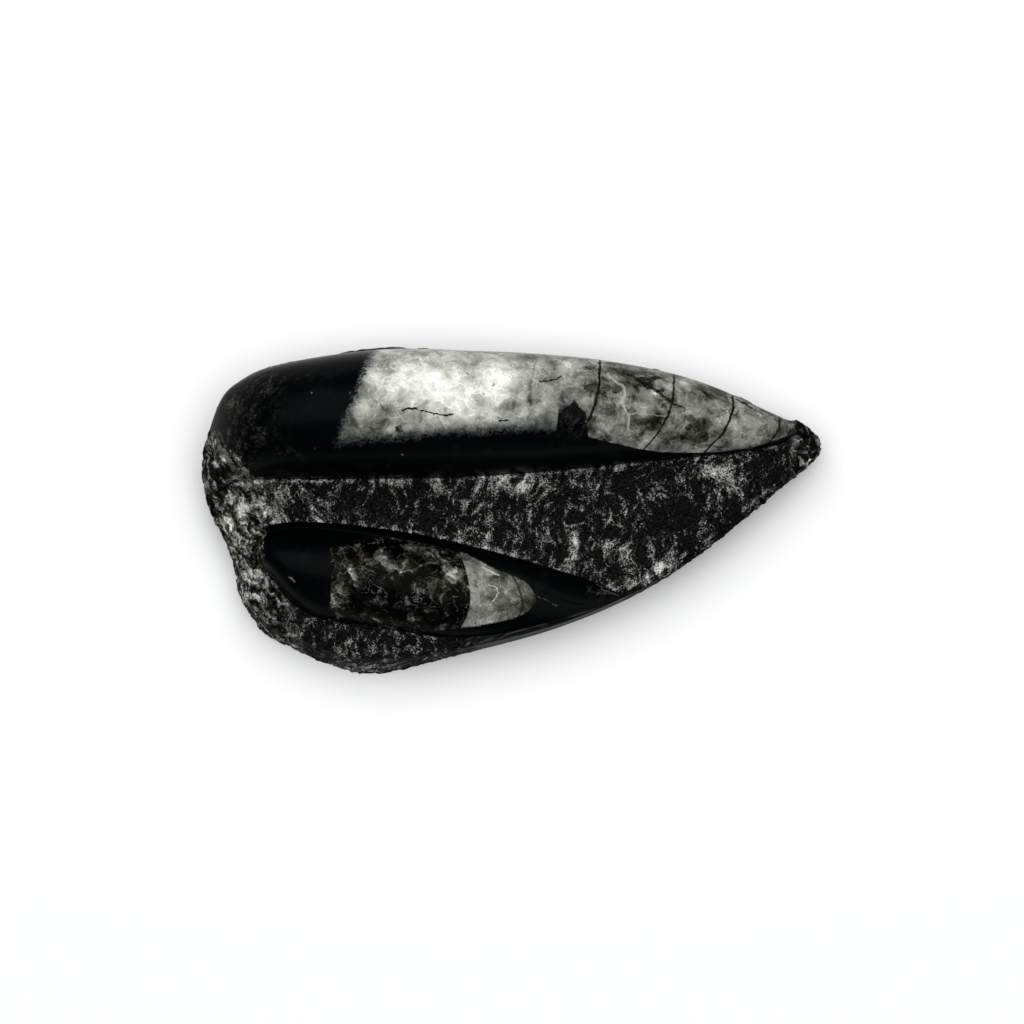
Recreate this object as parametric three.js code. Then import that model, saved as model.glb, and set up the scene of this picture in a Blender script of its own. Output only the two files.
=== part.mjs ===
// A polished orthoceras fossil: one hand-size block of black limestone with two fossil shells in
// relief. The large cone lies along the back as a half-round ridge, the small spindle lies at the
// front left in a polished groove, and a chiselled floor of matrix lies between them. The left end
// is a broken face, the right end runs out to a small stub, and the underside is sawn flat.
// Millimetres, +X along the stone to its pointed end, +Z up, underside on Z = 0.
import * as THREE from 'three';
import { mergeVertices } from 'three/addons/utils/BufferGeometryUtils.js';

// Driving dimensions, mm
const LENGTH = 150;              // blunt end to pointed end
const WIDTH = 80;
const HEIGHT = 35;               // sawn underside to the crest of the large cone

const COLUMNS = 84;              // cross-sections along the stone
const END_CROWDING = 0.6;        // 0 spaces them evenly, towards 1 crowds them at both ends
const WALL_ROWS = 2;             // rows of faces down each end
const LEAST_GAP = 0.25;          // mm between two guides where they run together
const RIDGE_LEAN = 0.22;         // radians that a cone's flank leans in from upright at its foot
const SPINDLE_LEAN = 0.45;

// Guides: lines that run the whole length of the stone, as [x, y, z] in mm, front to back.
const FRONT_BASE = [[-68.6, -14, 0], [-67.5, -19.2, 0], [-65.8, -22.9, 0], [-60.5, -30.2, 0],
  [-54, -33.9, 0], [-46.8, -37.6, 0], [-37, -40.4, 0], [-27.3, -39.5, 0], [-7.7, -34.3, 0],
  [11.8, -28.7, 0], [31.3, -20.6, 0], [43.5, -13.2, 0], [60.7, 0.4, 0], [70.4, 8.7, 0],
  [74.6, 13.2, 0]];
const FRONT_RIM = [[-67.4, -14, 8], [-65.2, -20.4, 9.5], [-59.5, -27, 11], [-53.5, -30.7, 11.5],
  [-45, -34.2, 12], [-35, -36.2, 12], [-22.3, -35.6, 12.2], [-5.8, -32.2, 12.2], [12.6, -27.2, 12.5],
  [29.8, -19.9, 13], [43.3, -12.2, 13.2], [60.6, 1.5, 13.2], [70.2, 9.8, 12.4], [74.4, 13.6, 10.4]];
const SPINDLE_FRONT = [[-67.8, -12.8, 9], [-63.6, -10.4, 12.4], [-62.5, -11.5, 12.8],
  [-60.6, -13.9, 13], [-58.2, -16.8, 13], [-54.3, -21.7, 13], [-48.5, -25.7, 13], [-43.2, -27.1, 13],
  [-26.9, -29.4, 12.8], [-15.4, -31, 12.2], [-5.1, -30.3, 11.8], [7.8, -27.6, 11.6], [17.5, -24.6, 12],
  [28, -21.1, 12.8]];
const SPINDLE_CREST = [[-68, -11.8, 9.3], [-63.9, -9.6, 12.4], [-62.6, -9.8, 15.6], [-61, -10.4, 18.1],
  [-58, -11.6, 20.2], [-54, -12.9, 21.3], [-47, -14.2, 21.8], [-35, -16.4, 21.6], [-25, -18.2, 20.6],
  [-15, -19.8, 18.8], [-6, -21.2, 16.4], [2, -22.3, 13.6], [6, -22.8, 12.4], [17.5, -23.6, 11.9],
  [28, -21, 12.8]];
const SPINDLE_BACK = [[-68, -10.9, 9.6], [-63.6, -8.8, 12.4], [-62, -7.2, 12.9], [-60.4, -5.9, 13.1],
  [-57, -4.8, 13.3], [-50, -4.3, 13.6], [-42, -4.9, 13.6], [-30, -6.8, 13.4], [-20, -8.7, 13.1],
  [-12, -11.2, 12.7], [-6.8, -13.4, 12.4], [2, -16.8, 12], [12.6, -21.6, 11.5], [17.5, -22.8, 11.7],
  [28, -20.9, 12.8]];
const GROOVE_EDGE = [[-68, -10, 9.8], [-63.4, -7.9, 13.4], [-62.3, -6.5, 14.4], [-59.1, -4, 15.6],
  [-54, -3, 16.1], [-42.1, -3.3, 16.2], [-24.9, -5.6, 16], [-7.6, -9.3, 15.6], [12.2, -14.9, 15],
  [20.6, -17.7, 14.4], [24.2, -19.4, 13.8], [28, -20.8, 13]];
const FLOOR_MIDDLE = [[-72.2, -3.6, 9.5], [-66, -0.5, 14.5], [-58, 1.5, 16.3], [-40, 2.2, 16.6],
  [-20, 1.2, 16.5], [0, -1.5, 16.3], [20, -3.5, 15.8], [40, 1, 15.2], [60, 9, 14.4], [70, 13.4, 13.3],
  [75, 15, 10.8]];
const RIDGE_FOOT = [[-74.4, 3.4, 9.5], [-70, 5.6, 13.5], [-66, 6.9, 15.8], [-59.8, 7.5, 16.8],
  [-42, 7.6, 16.9], [-15, 8, 16.8], [7.6, 9.3, 16.5], [28.6, 11.4, 16], [44.3, 13, 15.5],
  [54.8, 14, 15.1], [65.3, 16.1, 14.6], [69.7, 18.6, 14], [75, 15.7, 11]];
const RIDGE_CREST = [[-75, 9, 10.5], [-72.7, 12.5, 17], [-70, 15.5, 22], [-66, 18.3, 27],
  [-60, 20.8, 31], [-50, 22.6, 33.6], [-40, 23.4, 34.6], [-25, 24, 35], [-10, 24, 34.4],
  [5, 23.9, 32.9], [20, 23.8, 30.6], [35, 22.9, 27.4], [50, 21.5, 23], [60, 20.4, 19.6],
  [67, 19.8, 16.6], [70, 19.8, 15], [75.1, 16.3, 11]];
const RIDGE_BACK = [[-74.8, 13, 10.5], [-73.6, 19.1, 14], [-70.3, 27.2, 16.5], [-66, 31.2, 17.5],
  [-59.8, 34.3, 18], [-47.1, 37, 18], [-33.4, 38.7, 18], [-23.8, 39.1, 18], [-11.6, 38.6, 18],
  [2.1, 38.1, 17.6], [20.8, 36.5, 17], [39.1, 33.1, 16.2], [49.6, 29.7, 15.6], [63.9, 23.3, 14.6],
  [67.5, 21.8, 14.2], [70, 21.9, 13.6], [72.5, 19.7, 12.5], [74.7, 17.3, 11]];
const BACK_BASE = [[-74.2, 13.2, 0], [-72.6, 18.6, 0], [-69.4, 26.2, 0], [-60, 33, 0], [-47, 36, 0],
  [-40, 38.4, 0], [-32, 39.6, 0], [-25, 39.3, 0], [-18, 37.6, 0], [2, 37, 0], [20.8, 35.4, 0],
  [39, 32, 0], [49.6, 28.7, 0], [63.9, 22.6, 0], [69.8, 20.9, 0], [74.5, 17.2, 0]];

// The bottom edge at each end, front to back, as [x, y] in mm
const LEFT_BASE = [[-68.6, -14], [-68.1, -11.6], [-69.8, -8], [-72, -4.5], [-73, -1], [-75, 4],
  [-75.3, 8.5], [-74.2, 13.2]];
const RIGHT_BASE = [[74.6, 13.2], [75.4, 15.2], [74.5, 17.2]];

// How a cross-section runs from one guide to the next: each gives the part of the way across and
// the part of the way up, both 0 to 1, for a part t of the way along.
const straight = (t) => [t, t];
const crown = (lean) => (t) => {
  const angle = lean + t * (Math.PI / 2 - lean);
  return [1 - Math.cos(angle) / Math.cos(lean), (Math.sin(angle) - Math.sin(lean)) / (1 - Math.sin(lean))];
};
const shoulder = (lean) => (t) => crown(lean)(1 - t).map((part) => 1 - part);
const scoop = (t) => [Math.sin(t * Math.PI / 2), 1 - Math.cos(t * Math.PI / 2)];

const SECTION = [
  { to: FRONT_BASE },
  { to: FRONT_RIM, shape: straight, steps: 2 },
  { to: SPINDLE_FRONT, shape: straight, steps: 2 },
  { to: SPINDLE_CREST, shape: crown(SPINDLE_LEAN), steps: 5 },
  { to: SPINDLE_BACK, shape: shoulder(SPINDLE_LEAN), steps: 5 },
  { to: GROOVE_EDGE, shape: scoop, steps: 3 },
  { to: FLOOR_MIDDLE, shape: straight, steps: 2 },
  { to: RIDGE_FOOT, shape: straight, steps: 2 },
  { to: RIDGE_CREST, shape: crown(RIDGE_LEAN), steps: 7 },
  { to: RIDGE_BACK, shape: shoulder(0), steps: 7 },
  { to: BACK_BASE, shape: straight, steps: 2 },
];

// A smooth curve through a guide's points, read at x: a cubic between neighbours, level beyond the ends
function readGuide(guide, x, axis) {
  const last = guide.length - 1;
  const held = THREE.MathUtils.clamp(x, guide[0][0], guide[last][0]);
  let i = 0;
  while (i < last - 1 && held > guide[i + 1][0]) i += 1;
  const slope = (k) => {
    const before = guide[Math.max(k - 1, 0)];
    const after = guide[Math.min(k + 1, last)];
    return (after[axis] - before[axis]) / (after[0] - before[0]);
  };
  const span = guide[i + 1][0] - guide[i][0];
  const t = (held - guide[i][0]) / span;
  const rise = guide[i + 1][axis] - guide[i][axis];
  const bend = (1 - t) * (slope(i) * span - rise) - t * (slope(i + 1) * span - rise);
  return guide[i][axis] + t * rise + t * (1 - t) * bend;
}

// Where one guide stands in the column that is a part u of the way along the stone
function guidePoint(guide, u) {
  const along = u - END_CROWDING * Math.sin(2 * Math.PI * u) / (2 * Math.PI);
  const rightEnd = Math.max(guide[guide.length - 1][0], RIGHT_BASE[0][0]);
  const x = THREE.MathUtils.lerp(guide[0][0], rightEnd, along);
  return new THREE.Vector3(x, readGuide(guide, x, 1), readGuide(guide, x, 2));
}

// One column: the cross-section from the front base, over the top, to the back base
function crossSection(u) {
  let start = guidePoint(SECTION[0].to, u);
  const points = [start];
  for (const { to, shape, steps } of SECTION.slice(1)) {
    const end = guidePoint(to, u);
    if (to !== BACK_BASE && to !== FRONT_RIM) end.y = Math.max(end.y, start.y + LEAST_GAP);
    for (let step = 1; step <= steps; step += 1) {
      const [across, up] = shape(step / steps);
      const point = start.clone().lerp(end, across);
      point.z = THREE.MathUtils.lerp(start.z, end.z, up);
      points.push(point);
    }
    start = end;
  }
  return points;
}

// An end face: straight lines from a column down to the stone's bottom edge there
function endWall(column, baseEdge) {
  const base = new THREE.CatmullRomCurve3(baseEdge.map(([x, y]) => new THREE.Vector3(x, y, 0)));
  const reach = [0];
  for (let i = 1; i < column.length; i += 1) reach.push(reach[i - 1] + column[i].distanceTo(column[i - 1]));
  const wall = column.map((top, i) => {
    const foot = base.getPoint(reach[i] / reach[column.length - 1]);
    const line = [];
    for (let row = 0; row <= WALL_ROWS; row += 1) line.push(top.clone().lerp(foot, row / WALL_ROWS));
    return line;
  });
  wall[0].fill(column[0]);
  wall[column.length - 1].fill(column[column.length - 1]);
  return wall;
}

// Two triangles for each cell of a grid of points, without those that have no area
function gridTriangles(grid) {
  const triangles = [];
  for (let i = 0; i + 1 < grid.length; i += 1) {
    for (let j = 0; j + 1 < grid[i].length; j += 1) {
      const corners = [grid[i][j], grid[i + 1][j], grid[i + 1][j + 1], grid[i][j + 1]];
      triangles.push([corners[0], corners[1], corners[2]], [corners[0], corners[2], corners[3]]);
    }
  }
  return triangles.filter(([a, b, c]) => !a.equals(b) && !b.equals(c) && !c.equals(a));
}

// The sawn underside: the flat face inside the bottom edge, which runs anticlockwise from above
function undersideTriangles(edge) {
  const outline = edge.map((point) => new THREE.Vector2(point.x, point.y));
  return THREE.ShapeUtils.triangulateShape(outline, []).map(([a, b, c]) => [edge[a], edge[c], edge[b]]);
}

function stoneGeometry() {
  const columns = [];
  for (let i = 0; i <= COLUMNS; i += 1) columns.push(crossSection(i / COLUMNS));
  const leftWall = endWall(columns[0], LEFT_BASE);
  const rightWall = endWall(columns[COLUMNS], RIGHT_BASE);
  const last = columns[0].length - 1;
  const bottomEdge = [
    ...columns.map((column) => column[0]),
    ...rightWall.slice(1, -1).map((line) => line[WALL_ROWS]),
    ...columns.map((column) => column[last]).reverse(),
    ...leftWall.slice(1, -1).map((line) => line[WALL_ROWS]).reverse(),
  ];
  const triangles = [
    ...gridTriangles(columns),
    ...gridTriangles(leftWall),
    ...gridTriangles([...rightWall].reverse()),
    ...undersideTriangles(bottomEdge),
  ];
  const geometry = new THREE.BufferGeometry();
  const positions = triangles.flat().flatMap((point) => [point.x, point.y, point.z]);
  geometry.setAttribute('position', new THREE.Float32BufferAttribute(positions, 3));
  return mergeVertices(geometry, 1e-4);
}

// Stretches the stone to its driving dimensions and stands it on Z = 0, centred on the origin
function fitToSize(geometry) {
  geometry.computeBoundingBox();
  const size = geometry.boundingBox.getSize(new THREE.Vector3());
  const centre = geometry.boundingBox.getCenter(new THREE.Vector3());
  geometry.translate(-centre.x, -centre.y, -geometry.boundingBox.min.z);
  geometry.scale(LENGTH / size.x, WIDTH / size.y, HEIGHT / size.z);
  return geometry;
}

const blackLimestone = new THREE.MeshStandardMaterial({ color: 0x1b1e1f, roughness: 0.3, metalness: 0 });

const stone = new THREE.Mesh(fitToSize(stoneGeometry()), blackLimestone);
stone.name = 'fossil_stone';

const fossil = new THREE.Group();
fossil.add(stone);

export default fossil;
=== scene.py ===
"""A polished orthoceras fossil: one block of black limestone with two shells in relief, seen from above.

The stone is rebuilt as one fine mesh on the same guide lines as the CAD solid, with real relief on its
chiselled and broken faces. Its markings are shader nodes that read a few smooth fields kept on the mesh.
"""

import math

import bpy
import numpy as np
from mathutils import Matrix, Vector, noise


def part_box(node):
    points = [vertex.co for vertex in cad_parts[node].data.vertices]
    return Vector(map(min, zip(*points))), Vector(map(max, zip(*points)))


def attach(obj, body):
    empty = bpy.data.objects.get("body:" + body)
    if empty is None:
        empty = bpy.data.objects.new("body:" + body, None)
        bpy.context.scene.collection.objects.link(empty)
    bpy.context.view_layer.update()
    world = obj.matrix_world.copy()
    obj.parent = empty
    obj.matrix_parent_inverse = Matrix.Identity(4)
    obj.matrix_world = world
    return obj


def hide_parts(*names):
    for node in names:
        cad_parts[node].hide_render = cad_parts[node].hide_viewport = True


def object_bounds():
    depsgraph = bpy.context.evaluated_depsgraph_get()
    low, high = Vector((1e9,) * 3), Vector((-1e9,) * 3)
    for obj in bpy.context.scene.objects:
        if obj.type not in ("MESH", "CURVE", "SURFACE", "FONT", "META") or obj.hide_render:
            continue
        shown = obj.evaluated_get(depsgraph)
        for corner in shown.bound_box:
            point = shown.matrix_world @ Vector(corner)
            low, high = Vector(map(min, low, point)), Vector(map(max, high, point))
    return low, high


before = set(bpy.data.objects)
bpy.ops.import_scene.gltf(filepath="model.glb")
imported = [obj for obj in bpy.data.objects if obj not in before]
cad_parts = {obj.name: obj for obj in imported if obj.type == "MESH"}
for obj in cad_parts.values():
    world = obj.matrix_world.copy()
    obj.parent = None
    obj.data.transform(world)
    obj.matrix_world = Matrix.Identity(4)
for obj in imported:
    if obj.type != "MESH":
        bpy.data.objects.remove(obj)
cad_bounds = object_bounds()

NODE = "fossil_stone"
METRES = 0.001  # a millimetre

# How fine the mesh is
COLUMNS = 440
END_CROWDING = 0.5
WALL_ROWS = 12
LEAST_GAP = 0.25
RIDGE_LEAN = 0.22
SPINDLE_LEAN = 0.45

# Guides: lines along the whole stone, as (x, y, z) in millimetres, front to back, as in the CAD part
FRONT_BASE = [(-68.6, -14, 0), (-67.5, -19.2, 0), (-65.8, -22.9, 0), (-60.5, -30.2, 0), (-54, -33.9, 0),
              (-46.8, -37.6, 0), (-37, -40.4, 0), (-27.3, -39.5, 0), (-7.7, -34.3, 0), (11.8, -28.7, 0),
              (31.3, -20.6, 0), (43.5, -13.2, 0), (60.7, 0.4, 0), (70.4, 8.7, 0), (74.6, 13.2, 0)]
FRONT_RIM = [(-67.4, -14, 8), (-65.2, -20.4, 9.5), (-59.5, -27, 11), (-53.5, -30.7, 11.5),
             (-45, -34.2, 12), (-35, -36.2, 12), (-22.3, -35.6, 12.2), (-5.8, -32.2, 12.2),
             (12.6, -27.2, 12.5), (29.8, -19.9, 13), (43.3, -12.2, 13.2), (60.6, 1.5, 13.2),
             (70.2, 9.8, 12.4), (74.4, 13.6, 10.4)]
SPINDLE_FRONT = [(-67.8, -12.8, 9), (-63.6, -10.4, 12.4), (-62.5, -11.5, 12.8), (-60.6, -13.9, 13),
                 (-58.2, -16.8, 13), (-54.3, -21.7, 13), (-48.5, -25.7, 13), (-43.2, -27.1, 13),
                 (-26.9, -29.4, 12.8), (-15.4, -31, 12.2), (-5.1, -30.3, 11.8), (7.8, -27.6, 11.6),
                 (17.5, -24.6, 12), (28, -21.1, 12.8)]
SPINDLE_CREST = [(-68, -11.8, 9.3), (-63.9, -9.6, 12.4), (-62.6, -9.8, 15.6), (-61, -10.4, 18.1),
                 (-58, -11.6, 20.2), (-54, -12.9, 21.3), (-47, -14.2, 21.8), (-35, -16.4, 21.6),
                 (-25, -18.2, 20.6), (-15, -19.8, 18.8), (-6, -21.2, 16.4), (2, -22.3, 13.6),
                 (6, -22.8, 12.4), (17.5, -23.6, 11.9), (28, -21, 12.8)]
SPINDLE_BACK = [(-68, -10.9, 9.6), (-63.6, -8.8, 12.4), (-62, -7.2, 12.9), (-60.4, -5.9, 13.1),
                (-57, -4.8, 13.3), (-50, -4.3, 13.6), (-42, -4.9, 13.6), (-30, -6.8, 13.4),
                (-20, -8.7, 13.1), (-12, -11.2, 12.7), (-6.8, -13.4, 12.4), (2, -16.8, 12),
                (12.6, -21.6, 11.5), (17.5, -22.8, 11.7), (28, -20.9, 12.8)]
GROOVE_EDGE = [(-68, -10, 9.8), (-63.4, -7.9, 13.4), (-62.3, -6.5, 14.4), (-59.1, -4, 15.6),
               (-54, -3, 16.1), (-42.1, -3.3, 16.2), (-24.9, -5.6, 16), (-7.6, -9.3, 15.6),
               (12.2, -14.9, 15), (20.6, -17.7, 14.4), (24.2, -19.4, 13.8), (28, -20.8, 13)]
FLOOR_MIDDLE = [(-72.2, -3.6, 9.5), (-66, -0.5, 14.5), (-58, 1.5, 16.3), (-40, 2.2, 16.6),
                (-20, 1.2, 16.5), (0, -1.5, 16.3), (20, -3.5, 15.8), (40, 1, 15.2), (60, 9, 14.4),
                (70, 13.4, 13.3), (75, 15, 10.8)]
RIDGE_FOOT = [(-74.4, 3.4, 9.5), (-70, 5.6, 13.5), (-66, 6.9, 15.8), (-59.8, 7.5, 16.8),
              (-42, 7.6, 16.9), (-15, 8, 16.8), (7.6, 9.3, 16.5), (28.6, 11.4, 16), (44.3, 13, 15.5),
              (54.8, 14, 15.1), (65.3, 16.1, 14.6), (69.7, 18.6, 14), (75, 15.7, 11)]
RIDGE_CREST = [(-75, 9, 10.5), (-72.7, 12.5, 17), (-70, 15.5, 22), (-66, 18.3, 27), (-60, 20.8, 31),
               (-50, 22.6, 33.6), (-40, 23.4, 34.6), (-25, 24, 35), (-10, 24, 34.4), (5, 23.9, 32.9),
               (20, 23.8, 30.6), (35, 22.9, 27.4), (50, 21.5, 23), (60, 20.4, 19.6), (67, 19.8, 16.6),
               (70, 19.8, 15), (75.1, 16.3, 11)]
RIDGE_BACK = [(-74.8, 13, 10.5), (-73.6, 19.1, 14), (-70.3, 27.2, 16.5), (-66, 31.2, 17.5),
              (-59.8, 34.3, 18), (-47.1, 37, 18), (-33.4, 38.7, 18), (-23.8, 39.1, 18),
              (-11.6, 38.6, 18), (2.1, 38.1, 17.6), (20.8, 36.5, 17), (39.1, 33.1, 16.2),
              (49.6, 29.7, 15.6), (63.9, 23.3, 14.6), (67.5, 21.8, 14.2), (70, 21.9, 13.6),
              (72.5, 19.7, 12.5), (74.7, 17.3, 11)]
BACK_BASE = [(-74.2, 13.2, 0), (-72.6, 18.6, 0), (-69.4, 26.2, 0), (-60, 33, 0), (-47, 36, 0),
             (-40, 38.4, 0), (-32, 39.6, 0), (-25, 39.3, 0), (-18, 37.6, 0), (2, 37, 0),
             (20.8, 35.4, 0), (39, 32, 0), (49.6, 28.7, 0), (63.9, 22.6, 0), (69.8, 20.9, 0),
             (74.5, 17.2, 0)]
LEFT_BASE = [(-68.6, -14), (-68.1, -11.6), (-69.8, -8), (-72, -4.5), (-73, -1), (-75, 4), (-75.3, 8.5),
             (-74.2, 13.2)]
RIGHT_BASE = [(74.6, 13.2), (75.4, 15.2), (74.5, 17.2)]

# Where the markings lie, in millimetres
SHELL_LEFT_EDGE = [(14, -43), (19, -41.6), (22, -41), (26, -38.6), (31, -37), (38, -34.6)]
SHELL_LOWER_EDGE = [(-43, 14.8), (-33.5, 15.9), (-24.5, 16.4), (-18, 17.3), (-9.3, 17.4), (-2.4, 18.3),
                    (10.7, 18.5), (11.2, 23.6), (12.9, 24.5), (15.1, 26.1), (16.5, 24.1), (17.9, 23.2),
                    (18.3, 17.6), (23.5, 16.4), (29.7, 15), (36, 14.1), (43.3, 13.9), (49.6, 14.2),
                    (57.4, 15), (62.7, 16.6), (68.9, 18.7)]
SPINDLE_UPPER_EDGE = [(-43.6, -9.2), (-38, -8), (-33, -6.7), (-28, -6.8), (-20, -8.4), (-11.2, -10.5),
                      (-4.5, -14.1), (1.3, -16.3), (3.6, -17.6), (5, -19.2), (5.8, -21.4), (5.9, -22)]
SPINDLE_LOWER_EDGE = [(-43.6, -27.4), (-27, -29.6), (-15.6, -28.9), (-6.4, -27.7), (0.4, -26.2),
                      (3.2, -25), (5, -23.6), (5.9, -22)]
POLISH_END = ((-73, 19), (-60, 7.5))  # the line where the large cone's polish stops at the broken end
STUB_START = 69.0
SPINDLE_START = -60
SPINDLE_END = 28.5
FILLING_START = -43.6     # where the small shell's filling begins
FILLING_END = 6
PALE_START = -10          # where its breccia gives way to pale crystals
TIP_WALL = 2.6            # its one chamber wall


# ---------------------------------------------------------------- the stone's shape

def read_guide(guide, x, axis):
    """A smooth curve through a guide's points, read at x: a cubic between neighbours, level beyond."""
    points = np.array(guide, float)
    knots, values = points[:, 0], points[:, axis]
    held = np.clip(x, knots[0], knots[-1])
    i = np.clip(np.searchsorted(knots, held, side="left") - 1, 0, len(knots) - 2)
    before = np.maximum(np.arange(len(knots)) - 1, 0)
    after = np.minimum(np.arange(len(knots)) + 1, len(knots) - 1)
    slope = (values[after] - values[before]) / (knots[after] - knots[before])
    span = knots[i + 1] - knots[i]
    t = (held - knots[i]) / span
    rise = values[i + 1] - values[i]
    bend = (1 - t) * (slope[i] * span - rise) - t * (slope[i + 1] * span - rise)
    return values[i] + t * rise + t * (1 - t) * bend


def guide_points(guide, u):
    """Where a guide stands in each column; u is the part of the way along the stone."""
    along = u - END_CROWDING * np.sin(2 * np.pi * u) / (2 * np.pi)
    right_end = max(guide[-1][0], RIGHT_BASE[0][0])
    x = guide[0][0] + (right_end - guide[0][0]) * along
    return np.stack([x, read_guide(guide, x, 1), read_guide(guide, x, 2)], axis=-1)


# How a section runs between two guides: the part of the way across and up, for a part t along it

def straight(t):
    return t, t


def crown(lean):
    """Up over a rounded top, from a flank that leans in by that many radians."""
    def shape(t):
        angle = lean + t * (np.pi / 2 - lean)
        return 1 - np.cos(angle) / np.cos(lean), (np.sin(angle) - np.sin(lean)) / (1 - np.sin(lean))
    return shape


def shoulder(lean):
    """The same, down the other side."""
    def shape(t):
        across, up = crown(lean)(1 - t)
        return 1 - across, 1 - up
    return shape


def scoop(t):
    """A hollow that is steep where it meets the higher guide."""
    return np.sin(t * np.pi / 2), 1 - np.cos(t * np.pi / 2)


# The section from the front base over the top to the back base: guide, shape of the way to it, steps
SECTION = [
    (FRONT_RIM, straight, 16),
    (SPINDLE_FRONT, straight, 16),
    (SPINDLE_CREST, crown(SPINDLE_LEAN), 18),
    (SPINDLE_BACK, shoulder(SPINDLE_LEAN), 18),
    (GROOVE_EDGE, scoop, 10),
    (FLOOR_MIDDLE, straight, 27),
    (RIDGE_FOOT, straight, 27),
    (RIDGE_CREST, crown(RIDGE_LEAN), 27),
    (RIDGE_BACK, shoulder(0), 27),
    (BACK_BASE, straight, 16),
]


def section_rows():
    """The rows of points over the stone, each (columns, 3), and the row number of each guide."""
    u = np.linspace(0, 1, COLUMNS + 1)
    start = guide_points(FRONT_BASE, u)
    rows, guide_rows = [start], [0]
    for guide, shape, steps in SECTION:
        end = guide_points(guide, u)
        if guide is not BACK_BASE and guide is not FRONT_RIM:
            end[:, 1] = np.maximum(end[:, 1], start[:, 1] + LEAST_GAP)
        for step in range(1, steps + 1):
            across, up = shape(step / steps)
            row = start + (end - start) * across
            row[:, 2] = start[:, 2] + (end[:, 2] - start[:, 2]) * up
            rows.append(row)
        guide_rows.append(len(rows) - 1)
        start = end
    return np.array(rows), guide_rows


def along_polyline(points, part):
    """Points a given part, 0 to 1, of the way along a polyline by length."""
    points = np.array(points, float)
    reach = np.concatenate([[0], np.cumsum(np.linalg.norm(np.diff(points, axis=0), axis=1))])
    return np.stack([np.interp(part * reach[-1], reach, axis) for axis in points.T], axis=-1)


def section_reach(section):
    """Length along a section up to each of its points."""
    return np.concatenate([[0], np.cumsum(np.linalg.norm(np.diff(section, axis=0), axis=1))])


class StoneMesh:
    """Collects the stone's points and faces. Points are shared, so the result is one closed surface."""

    def __init__(self):
        self.points = []
        self.faces = []
        self.charts = []  # each point's place (across, along) in the unrolled map, in millimetres

    def add(self, points, chart):
        first = sum(len(block) for block in self.points)
        self.points.append(np.reshape(points, (-1, 3)))
        self.charts.append(np.reshape(chart, (-1, 2)))
        return first + np.arange(len(self.points[-1])).reshape(np.shape(points)[:-1])

    def quads(self, grid):
        corners = [grid[:-1, :-1], grid[1:, :-1], grid[1:, 1:], grid[:-1, 1:]]
        for quad in np.stack([c.ravel() for c in corners], axis=-1).tolist():
            face = [v for k, v in enumerate(quad) if v != quad[k - 1]]
            self.faces.append(face)


def end_wall(mesh, column, column_ids, base_edge, outward):
    """Rows of points from an end column straight down to the bottom edge there. Returns their ids."""
    reach = section_reach(column)
    foot = along_polyline(base_edge, reach / reach[-1])
    foot = np.column_stack([foot, np.zeros(len(foot))])
    ids = [column_ids]
    inner = slice(1, -1)
    for row in range(1, WALL_ROWS + 1):
        points = column + (foot - column) * row / WALL_ROWS
        drop = np.linalg.norm(foot - column, axis=1) * row / WALL_ROWS
        chart = np.column_stack([column[:, 0] + outward * drop, reach])
        line = column_ids.copy()
        line[inner] = mesh.add(points[inner], chart[inner])
        ids.append(line)
    return np.array(ids)


def build_stone():
    """The stone's mesh in millimetres, before relief, and what is known about its points."""
    mesh = StoneMesh()
    rows, guide_rows = section_rows()
    sections = np.swapaxes(rows, 0, 1)
    reach = np.array([section_reach(section) for section in sections])
    top = mesh.add(sections, np.stack([sections[..., 0], reach], axis=-1))
    left = end_wall(mesh, sections[0], top[0], LEFT_BASE, -1)
    right = end_wall(mesh, sections[-1], top[-1], RIGHT_BASE, 1)
    mesh.quads(top)
    mesh.quads(left.T)
    mesh.quads(right.T[::-1])
    underside = [*top[:, 0], *right[-1][1:-1], *top[::-1, -1], *left[-1][-2:0:-1]]
    mesh.faces.append([int(v) for v in reversed(underside)])
    return mesh, sections, reach, guide_rows, top


def make_object(name, points, faces):
    data = bpy.data.meshes.new(name)
    data.from_pydata(points.tolist(), [], faces)
    data.update()
    made = bpy.data.objects.new(name, data)
    bpy.context.scene.collection.objects.link(made)
    return made


# ---------------------------------------------------------------- fields over the stone

def fade(value, start, end):
    """0 at start, 1 at end, easing at both; start may lie above end."""
    t = np.clip((value - start) / (end - start), 0, 1)
    return t * t * (3 - 2 * t)


def soft_spots(x, y, spots):
    """The sum of soft round spots, each (x, y, reach in x, reach in y, strength)."""
    total = np.zeros_like(x)
    for cx, cy, rx, ry, strength in spots:
        total += strength * np.exp(-((x - cx) / rx) ** 2 - ((y - cy) / ry) ** 2)
    return total


def edge_height(edge, x):
    return np.interp(x, *np.array(edge, float).T)


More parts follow.
